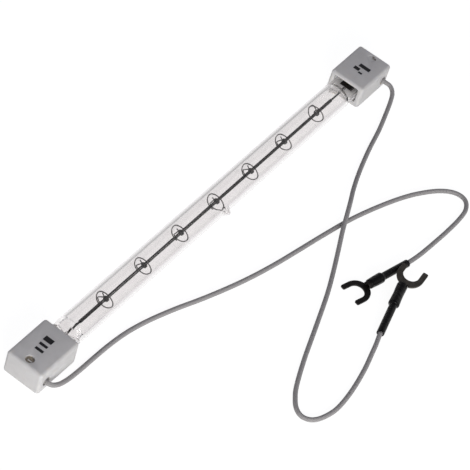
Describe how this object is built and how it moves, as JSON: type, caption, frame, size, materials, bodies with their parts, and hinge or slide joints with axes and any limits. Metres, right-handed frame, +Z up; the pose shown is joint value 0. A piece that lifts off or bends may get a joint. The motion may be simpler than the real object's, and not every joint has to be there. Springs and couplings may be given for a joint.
{
  "type": "quartz heating tube",
  "caption": "Halogen quartz heating lamp with a coiled filament, flat ceramic end caps and sleeved leads with fork terminals.",
  "frame": {"origin": "middle of the lamp without its leads, at the bottom of the caps", "axes": "+X along the tube, +Z up through the caps' vent holes, the leads leave on the -Y side"},
  "size_m": [0.208, 0.0886, 0.0109],
  "materials": {
    "quartz": "clear fused quartz",
    "steatite": "unglazed, smooth",
    "cement": "rough set cement",
    "tungsten": "drawn wire",
    "molybdenum": "drawn wire and rolled foil",
    "nickel": "nickel plated",
    "lead_braid": "braided glass fibre over insulation",
    "sleeving": "heat-shrunk sleeving",
    "dark_terminal": "dark plated sheet"
  },
  "bodies": {
    "root": {"quartz_envelope": "quartz", "filament": "tungsten", "filament_support_1": "molybdenum", "filament_support_2": "molybdenum", "filament_support_3": "molybdenum", "filament_support_4": "molybdenum", "filament_support_5": "molybdenum", "filament_support_6": "molybdenum", "filament_support_7": "molybdenum", "inner_lead_near": "molybdenum", "inner_lead_far": "molybdenum", "foil_near": "molybdenum", "foil_far": "molybdenum", "outer_pin_near": "nickel", "outer_pin_far": "nickel", "splice_near": "nickel", "splice_far": "nickel", "conductor_near": "nickel", "conductor_far": "nickel", "end_cap_near": "steatite", "end_cap_far": "steatite", "cement_near": "cement", "cement_far": "cement", "lead_near": "lead_braid", "lead_far": "lead_braid", "sleeve_near": "sleeving", "sleeve_far": "sleeving", "fork_terminal_near": "dark_terminal", "fork_terminal_far": "dark_terminal"}
  },
  "joints": []
}
